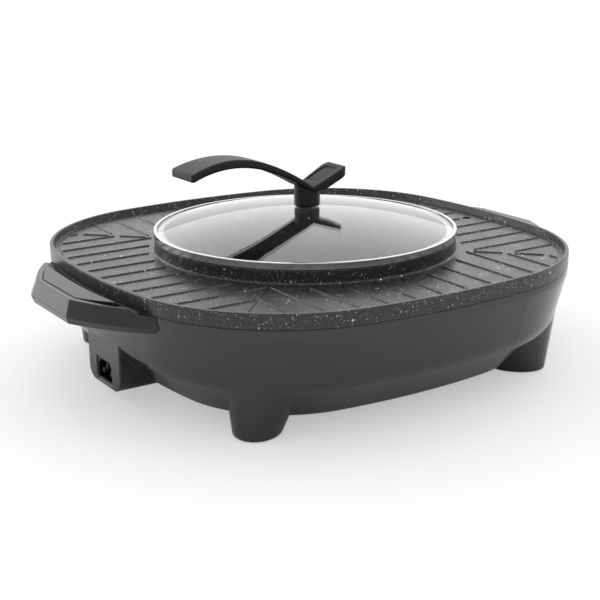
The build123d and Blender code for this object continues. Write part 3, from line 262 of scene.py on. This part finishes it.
@dataclass(frozen=True)
class GraniteCoating:
    """Stone-look non-stick coating, sprayed on cast aluminium and baked."""

    name: str
    ground: str
    grit: str
    fleck: str
    roughness: float
    sprinkles: tuple[Sprinkle, ...]
    ior: float = 1.5
    gloss_spread: float = 0.06
    cloud_mm: float = 14.0
    cloud_octaves: float = 2.0
    cloud_span: tuple[float, float] = (0.32, 0.62)
    thin_share: float = 0.45
    grit_span: tuple[float, float] = (0.48, 0.72)
    dimmest_fleck: float = 0.2
    pebble_mm: float = 0.9
    pebble_depth_mm: float = 0.065
    pebble_octaves: float = 3.0
    pebble_break: float = 0.6
    edge_mm: float = 0.7
    edge_samples: int = 6
    pot_level_mm: float = 97.0
    pot_fade_mm: float = 1.0
    pot_share: float = 0.7

    def flecks(
        self,
        tree: bpy.types.NodeTree,
        place: bpy.types.NodeSocket,
        cloud: bpy.types.NodeSocket,
        sprinkle: Sprinkle,
    ) -> bpy.types.NodeSocket:
        """Scatter the flecks of one size class, thicker in some places than in others.

        Args:
            tree: the material's node tree.
            place: the coordinates, in metres.
            cloud: how thickly the flecks lie here, from 0 to 1.
            sprinkle: the flecks' spacing, size and share.

        Returns:
            How pale the surface is: 0 off the flecks, up to 1 on the palest.
        """
        cells = add_node(
            tree,
            "ShaderNodeTexVoronoi",
            Vector=place,
            Scale=1 / (sprinkle.pitch_mm * MILLIMETRE),
        )
        chance = add_node(tree, "ShaderNodeSeparateColor", i0=cells.outputs["Color"])
        size = add_node(
            tree,
            "ShaderNodeMapRange",
            Value=chance.outputs["Red"],
            From_Min=1.0 - sprinkle.share,
            To_Max=sprinkle.largest_mm / 2 / sprinkle.pitch_mm,
        )
        spread = add_node(
            tree,
            "ShaderNodeMath",
            {"operation": "MULTIPLY"},
            i0=size.outputs[0],
            i1=cloud,
        )
        inside = add_node(
            tree,
            "ShaderNodeMath",
            {"operation": "LESS_THAN"},
            i0=cells.outputs["Distance"],
            i1=spread.outputs[0],
        )
        shade = add_node(
            tree,
            "ShaderNodeMapRange",
            Value=chance.outputs["Green"],
            To_Min=self.dimmest_fleck,
        )
        pale = add_node(
            tree,
            "ShaderNodeMath",
            {"operation": "MULTIPLY"},
            i0=inside.outputs[0],
            i1=shade.outputs[0],
        )
        return pale.outputs[0]

    def make(self) -> bpy.types.Material:
        """Build the finish.

        The eye sees near-black stone with a fine grey grit, sprinkled with pale mineral
        flecks that lie thicker in drifts and are smaller below the grill floor, under a
        low sheen that a pebbled, sprayed skin breaks into grain. The skin rounds over
        the ribs, so their crests catch the light.

        Returns:
            The material.
        """
        material, tree, output = new_material(self.name)
        place = add_node(tree, "ShaderNodeTexCoord").outputs["Object"]
        drifts = add_node(
            tree,
            "ShaderNodeTexNoise",
            Vector=place,
            Scale=1 / (self.cloud_mm * MILLIMETRE),
            Detail=self.cloud_octaves,
        )
        height = add_node(tree, "ShaderNodeSeparateXYZ", Vector=place)
        reach = add_node(
            tree,
            "ShaderNodeMapRange",
            Value=height.outputs["Z"],
            From_Min=(self.pot_level_mm - self.pot_fade_mm) * MILLIMETRE,
            From_Max=self.pot_level_mm * MILLIMETRE,
            To_Min=self.pot_share,
        )
        drift = add_node(
            tree,
            "ShaderNodeMapRange",
            Value=drifts.outputs["Fac"],
            From_Min=self.cloud_span[0],
            From_Max=self.cloud_span[1],
            To_Min=self.thin_share,
        )
        cloud = add_node(
            tree,
            "ShaderNodeMath",
            {"operation": "MULTIPLY"},
            i0=drift.outputs[0],
            i1=reach.outputs[0],
        ).outputs[0]
        pale = self.flecks(tree, place, cloud, self.sprinkles[0])
        for sprinkle in self.sprinkles[1:]:
            finer = self.flecks(tree, place, cloud, sprinkle)
            pale = add_node(
                tree, "ShaderNodeMath", {"operation": "MAXIMUM"}, i0=pale, i1=finer
            ).outputs[0]
        pebbles = add_node(
            tree,
            "ShaderNodeTexNoise",
            Vector=place,
            Scale=1 / (self.pebble_mm * MILLIMETRE),
            Detail=self.pebble_octaves,
            Roughness=self.pebble_break,
        )
        grit = add_node(
            tree,
            "ShaderNodeMapRange",
            Value=pebbles.outputs["Fac"],
            From_Min=self.grit_span[0],
            From_Max=self.grit_span[1],
        )
        stone = add_node(
            tree,
            "ShaderNodeMix",
            {"data_type": "RGBA"},
            i0=grit.outputs[0],
            i6=linear(self.ground),
            i7=linear(self.grit),
        )
        colour = add_node(
            tree,
            "ShaderNodeMix",
            {"data_type": "RGBA"},
            i0=pale,
            i6=stone.outputs[2],
            i7=linear(self.fleck),
        )
        skin = rounded_relief(
            tree,
            pebbles.outputs["Fac"],
            self.pebble_depth_mm,
            self.edge_mm,
            self.edge_samples,
        )
        gloss = add_node(
            tree,
            "ShaderNodeMapRange",
            Value=drifts.outputs["Fac"],
            To_Min=self.roughness + self.gloss_spread,
            To_Max=self.roughness - self.gloss_spread,
        )
        shader = add_node(
            tree,
            "ShaderNodeBsdfPrincipled",
            Base_Color=colour.outputs[2],
            Roughness=gloss.outputs[0],
            IOR=self.ior,
            Normal=skin,
        )
        tree.links.new(shader.outputs[0], output.inputs[0])
        return material


@dataclass(frozen=True)
class ToughenedGlass:
    """Clear soda-lime glass, pressed over a mould and toughened."""

    name: str
    tint: str
    ior: float

    def make(self) -> bpy.types.Material:
        """Build the finish.

        The eye sees through it almost without colour, with a sharp double reflection
        of the pale surroundings that grows towards the far edge. Lamp light passes
        straight through to what lies below, instead of leaving a dark shadow there.

        Returns:
            The material.
        """
        material, tree, output = new_material(self.name)
        glass = add_node(
            tree,
            "ShaderNodeBsdfPrincipled",
            Base_Color=linear(self.tint),
            Roughness=0.0,
            IOR=self.ior,
            Transmission_Weight=1.0,
        )
        clear = add_node(tree, "ShaderNodeBsdfTransparent", Color=linear(self.tint))
        mix = add_node(
            tree,
            "ShaderNodeMixShader",
            i0=any_ray(tree, "Is Shadow Ray", "Is Diffuse Ray"),
            i1=glass.outputs[0],
            i2=clear.outputs[0],
        )
        tree.links.new(mix.outputs[0], output.inputs[0])
        return material


@dataclass(frozen=True)
class WorkedMetal:
    """A bare or plated metal with the marks of its working."""

    name: str
    colour: str
    roughness: float
    work: MetalWork
    mark_octaves: float = 3.0
    smudge_mm: float = 18.0
    smudge_octaves: float = 2.0
    gloss_shares: tuple[float, float] = (0.8, 1.25)
    edge_mm: float = 0.2
    edge_samples: int = 4

    def make(self) -> bpy.types.Material:
        """Build the finish.

        The eye sees a coloured mirror, clear or soft by its roughness, whose
        reflections the rolling, drawing or polishing marks draw out, with slightly
        duller handled patches and a thin glint along every edge.

        Returns:
            The material.
        """
        material, tree, output = new_material(self.name)
        place = add_node(tree, "ShaderNodeTexCoord").outputs["Object"]
        length_mm, breadth_mm, depth_mm = self.work.value
        mark_mm = (length_mm, length_mm, breadth_mm)
        along = add_node(
            tree,
            "ShaderNodeMapping",
            Vector=place,
            Scale=tuple(1 / (size * MILLIMETRE) for size in mark_mm),
        )
        marks = add_node(
            tree,
            "ShaderNodeTexNoise",
            Vector=along.outputs[0],
            Scale=1.0,
            Detail=self.mark_octaves,
        )
        smudges = add_node(
            tree,
            "ShaderNodeTexNoise",
            Vector=place,
            Scale=1 / (self.smudge_mm * MILLIMETRE),
            Detail=self.smudge_octaves,
        )
        gloss = add_node(
            tree,
            "ShaderNodeMapRange",
            Value=smudges.outputs["Fac"],
            To_Min=self.roughness * self.gloss_shares[0],
            To_Max=self.roughness * self.gloss_shares[1],
        )
        skin = rounded_relief(
            tree,
            marks.outputs["Fac"],
            depth_mm,
            self.edge_mm,
            self.edge_samples,
        )
        shader = add_node(
            tree,
            "ShaderNodeBsdfPrincipled",
            Base_Color=linear(self.colour),
            Metallic=1.0,
            Roughness=gloss.outputs[0],
            Normal=skin,
        )
        tree.links.new(shader.outputs[0], output.inputs[0])
        return material


@dataclass(frozen=True)
class SoftBox:
    """A rectangular studio lamp; a radiance of 1 is as bright as the white world."""

    name: str
    place: tuple[float, float, float]
    aim: tuple[float, float, float]
    width: float
    height: float
    radiance: float

    def hang(self) -> None:
        """Hang the lamp so that it faces its aim."""
        data = bpy.data.lights.new(self.name, "AREA")
        data.shape = "RECTANGLE"
        data.size = self.width
        data.size_y = self.height
        # A matt panel's power is its radiance times pi times its area
        data.energy = self.radiance * math.pi * self.width * self.height
        box = bpy.data.objects.new(self.name, data)
        box.location = self.place
        facing = Vector(self.aim) - Vector(self.place)
        box.rotation_euler = facing.to_track_quat("-Z", "Y").to_euler()
        bpy.context.scene.collection.objects.link(box)


@dataclass(frozen=True)
class Silk:
    """A broad round overhead light behind a silk, as wide as its spread in degrees."""

    name: str
    azimuth: float
    elevation: float
    spread: float
    radiance: float

    def hang(self) -> None:
        """Hang the light in its direction, even over the whole floor."""
        data = bpy.data.lights.new(self.name, "SUN")
        data.angle = math.radians(self.spread)
        # What a round patch of even sky of this radiance sheds on a surface facing it
        data.energy = self.radiance * math.pi * math.sin(data.angle / 2) ** 2
        silk = bpy.data.objects.new(self.name, data)
        turn, rise = math.radians(self.azimuth), math.radians(self.elevation)
        source = Vector((math.cos(turn), math.sin(turn), math.tan(rise)))
        silk.rotation_euler = source.to_track_quat("Z", "Y").to_euler()
        bpy.context.scene.collection.objects.link(silk)


@dataclass
class Studio:
    """Camera, pale floor, white surroundings and soft lamps."""

    camera_place: tuple[float, float, float] = (-0.5790, -0.8777, 0.36146)
    camera_right: tuple[float, float, float] = (0.83617, -0.54843, -0.00649)
    camera_up: tuple[float, float, float] = (0.16122, 0.23447, 0.95866)
    picture_width_px: float = 600.0
    focal_px: float = 1238.96
    sensor_mm: float = 36.0
    nearest: float = 0.01
    farthest: float = 100.0
    floor_size: float = 30.0
    fill: float = 0.9
    paper_glow: float = 0.45
    lamps: tuple[SoftBox | Silk, ...] = (
        Silk(
            "back_overhead_silk",
            azimuth=50.0,
            elevation=52.0,
            spread=84.0,
            radiance=0.5,
        ),
        SoftBox(
            "back_left_soft_box",
            place=(-0.9, 1.5, 0.45),
            aim=(0.0, 0.0, 0.1),
            width=1.3,
            height=1.0,
            radiance=1.4,
        ),
    )

    def camera(self) -> None:
        """Place the camera at the photograph's viewing angle."""
        data = bpy.data.cameras.new("camera")
        data.sensor_width = self.sensor_mm
        data.lens = self.focal_px * self.sensor_mm / self.picture_width_px
        data.clip_start = self.nearest
        data.clip_end = self.farthest
        eye = bpy.data.objects.new("camera", data)
        right = Vector(self.camera_right).normalized()
        up = Vector(self.camera_up)
        up = (up - right * up.dot(right)).normalized()
        turn = Matrix((right, up, right.cross(up))).transposed()
        eye.matrix_world = Matrix.Translation(self.camera_place) @ turn.to_4x4()
        bpy.context.scene.collection.objects.link(eye)
        bpy.context.scene.camera = eye

    def surroundings(self) -> None:
        """Make the world: white where it is seen, an even fill where it only lights."""
        world = bpy.data.worlds.new("white_studio")
        bpy.context.scene.world = world
        world.use_nodes = True
        tree = world.node_tree
        tree.nodes.clear()
        output = add_node(tree, "ShaderNodeOutputWorld")
        fill = add_node(
            tree,
            "ShaderNodeBackground",
            Color=linear(WHITE),
            Strength=self.fill,
        )
        white = add_node(
            tree,
            "ShaderNodeBackground",
            Color=linear(WHITE),
            Strength=WHITE_STRENGTH,
        )
        seen = any_ray(tree, "Is Camera Ray", "Is Glossy Ray", "Is Transmission Ray")
        mix = add_node(
            tree,
            "ShaderNodeMixShader",
            i0=seen,
            i1=fill.outputs[0],
            i2=white.outputs[0],
        )
        tree.links.new(mix.outputs[0], output.inputs[0])

    def floor(self) -> None:
        """Lay the white paper floor, whose slight glow keeps the shadow light."""
        half = self.floor_size / 2
        mesh = bpy.data.meshes.new("floor")
        mesh.from_pydata(
            [(-half, -half, 0), (half, -half, 0), (half, half, 0), (-half, half, 0)],
            [],
            [(0, 1, 2, 3)],
        )
        sheet = bpy.data.objects.new("floor", mesh)
        bpy.context.scene.collection.objects.link(sheet)
        material, tree, output = new_material("matt_white_paper")
        paper = add_node(tree, "ShaderNodeBsdfDiffuse", Color=linear(WHITE))
        white = add_node(
            tree,
            "ShaderNodeEmission",
            Color=linear(WHITE),
            Strength=WHITE_STRENGTH,
        )
        # The glow is seen straight on or through glass, and lights nothing
        direct = any_ray(tree, "Is Camera Ray", "Is Transmission Ray")
        glow = add_node(
            tree,
            "ShaderNodeMath",
            {"operation": "MULTIPLY"},
            i0=direct,
            i1=self.paper_glow,
        )
        mix = add_node(
            tree,
            "ShaderNodeMixShader",
            i0=glow.outputs[0],
            i1=paper.outputs[0],
            i2=white.outputs[0],
        )
        tree.links.new(mix.outputs[0], output.inputs[0])
        mesh.materials.append(material)

    def build(self) -> None:
        """Make everything round the object."""
        self.camera()
        self.surroundings()
        self.floor()
        for lamp in self.lamps:
            lamp.hang()
            log.info("hung %s", lamp.name)


def dress(node: str, material: bpy.types.Material) -> None:
    """Give a carried-over node its material.

    Args:
        node: the node's name.
        material: the finish for all its faces.
    """
    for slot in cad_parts[node].material_slots:
        slot.material = material
    log.info("dressed %s with %s", node, material.name)


@dataclass
class Base:
    """Housing, feet, grips, inlet and everything inside them."""

    finishes: dict[str, MouldedPolymer | WorkedMetal] = field(
        default_factory=lambda: {
            # Charcoal polypropylene from a fine-blasted mould: an even grey-black with
            # a soft sheen, whose bends are rounded over
            "housing": MouldedPolymer(
                "moulded_polypropylene_charcoal", "#232324", 0.14, ior=1.52, edge_mm=3.0
            ),
            # Phenolic from a polished mould: deep black facets that mirror the pale
            # room softly, with a glint along each edge
            "grip": MouldedPolymer(
                "moulded_phenolic_black",
                "#111112",
                0.2,
                MouldTexture.POLISHED,
                ior=1.45,
                edge_mm=1.0,
            ),
            # Glass-filled polyamide: a dull black socket that hardly shows its depth
            "inlet": MouldedPolymer("moulded_polyamide_black", "#0c0c0c", 0.35),
            # Unfilled polyamide: warm ivory, slightly waxy
            "block": MouldedPolymer("moulded_polyamide_ivory", "#d8d2bd", 0.4),
            # Silicone over glass braid: a matt sandy sleeve
            "sleeve": MouldedPolymer("extruded_silicone_sleeve", "#b8aa90", 0.5),
            # Rubber from a spark-eroded mould: dead matt black with a pimpled skin
            "pad": MouldedPolymer(
                "moulded_rubber_black",
                "#101010",
                0.6,
                MouldTexture.SPARK_ERODED,
                ior=1.52,
            ),
            # Pressed and fired steatite: chalky cream, unglazed
            "ceramic": MouldedPolymer(
                "pressed_steatite",
                "#cfc6b4",
                0.5,
                MouldTexture.SPARK_ERODED,
                ior=1.6,
            ),
            # Zinc-dipped sheet: mid grey with the streaks of the rolls
            "cover": WorkedMetal(
                "galvanised_sheet_steel", "#8d8f90", 0.38, MetalWork.ROLLED
            ),
            # Aluminium-dipped sheet: paler and brighter, with the streaks of the rolls
            "shield": WorkedMetal(
                "aluminised_sheet_steel", "#a9abab", 0.32, MetalWork.ROLLED
            ),
            # Drawn tube, annealed in air: brownish grey scale with lines along it
            "tube": WorkedMetal(
                "annealed_steel_tube", "#5d5853", 0.45, MetalWork.DRAWN
            ),
            # Zinc-plated wire: small bluish-grey heads with a grainy glint
            "fixing": WorkedMetal(
                "zinc_plated_steel", "#a5a7a8", 0.3, MetalWork.PLATED
            ),
            # Nickel over brass: warm grey pins whose colour is darkened as painted
            # shade, standing in for the shade of the socket
            "pin": WorkedMetal(
                "nickel_plated_brass_painted_shade", "#57534c", 0.45, MetalWork.PLATED
            ),
        }
    )
    nodes: dict[str, tuple[str, ...]] = field(
        default_factory=lambda: {
            "housing": ("housing_shell",),
            "grip": (
                "handle_body_left",
                "handle_body_right",
                "handle_cover_left",
                "handle_cover_right",
            ),
            "inlet": ("inlet_body",),
            "block": ("terminal_block",),
            "sleeve": (
                "live_wire",
                "neutral_wire",
                "earth_wire",
                "pot_heater_wires",
                "grill_heater_wires",
                "thermostat_wires",
                "fuse_wires",
            ),
            "pad": (
                "foot_pad_front_left",
                "foot_pad_front_right",
                "foot_pad_back_left",
                "foot_pad_back_right",
            ),
            "ceramic": ("thermostat", "thermal_fuse"),
            "cover": ("bottom_cover",),
            "shield": (
                "heat_shield",
                "thermostat_bracket",
                "pot_heater_clips",
                "grill_heater_clips",
            ),
            "tube": ("pot_heater", "grill_heater"),
            "fixing": (
                "bottom_cover_screws",
                "handle_screws",
                "heat_shield_screws",
                "thermostat_rivets",
            ),
            "pin": ("inlet_pin_live", "inlet_pin_neutral", "inlet_pin_earth"),
        }
    )

    def build(self) -> None:
        """Dress every node of the base."""
        for finish, nodes in self.nodes.items():
            material = self.finishes[finish].make()
            for node in nodes:
                dress(node, material)


@dataclass
class Pan:
    """The ribbed grill pan with the pot in its middle."""

    coating: GraniteCoating = GraniteCoating(
        "sprayed_granite_look_nonstick",
        ground="#0d0d0d",
        grit="#3e3e3d",
        fleck="#dededc",
        roughness=0.3,
        # Real flecks go down to 0.1 mm; the finest, and the pebbles of the sprayed
        # skin, are drawn coarser, so that they show
        sprinkles=(
            Sprinkle(pitch_mm=5.0, largest_mm=2.4, share=0.5),
            Sprinkle(pitch_mm=2.2, largest_mm=1.25, share=0.6),
            Sprinkle(pitch_mm=1.2, largest_mm=0.85, share=0.6),
        ),
    )

    def build(self) -> None:
        """Dress the pan."""
        dress("grill_pan", self.coating.make())


@dataclass
class Lid:
    """Domed glass, its steel band and the black handle with its fixings."""

    # Clear glass: nearly no colour, and mirrored edges of the room across the dome
    glass: ToughenedGlass = ToughenedGlass("toughened_clear_glass", "#fbfcfc", 1.52)
    # Spun and polished steel: a bright thin ring with a dark flank
    band: WorkedMetal = WorkedMetal(
        "polished_stainless_steel", "#cdcdcc", 0.15, MetalWork.POLISHED
    )
    # Phenolic, finely blasted: deep black with a low sheen and well rounded edges
    handle: MouldedPolymer = MouldedPolymer(
        "moulded_phenolic_deep_black", "#060607", 0.42, ior=1.35, edge_mm=2.2
    )
    # Silicone: a dull black ring under the post
    gasket: MouldedPolymer = MouldedPolymer("moulded_silicone_black", "#0c0c0c", 0.5)
    # Turned steel: a soft grey mirror with fine tool marks
    fixing: WorkedMetal = WorkedMetal(
        "turned_stainless_steel", "#b9b9b6", 0.25, MetalWork.PLATED
    )

    def build(self) -> None:
        """Dress every node of the lid."""
        dress("lid_glass", self.glass.make())
        dress("lid_band", self.band.make())
        dress("lid_handle", self.handle.make())
        dress("lid_gasket", self.gasket.make())
        fixing = self.fixing.make()
        dress("lid_washer", fixing)
        dress("lid_screw", fixing)


def main() -> None:
    """Build the studio and every sub-assembly in order."""
    logging.basicConfig(level=logging.INFO, format="%(name)s: %(message)s")
    bpy.context.scene.view_settings.view_transform = "Standard"
    for assembly in (Studio(), Base(), Pan(), Lid()):
        assembly.build()
        log.info("built %s", type(assembly).__name__)


if __name__ == "__main__":
    main()
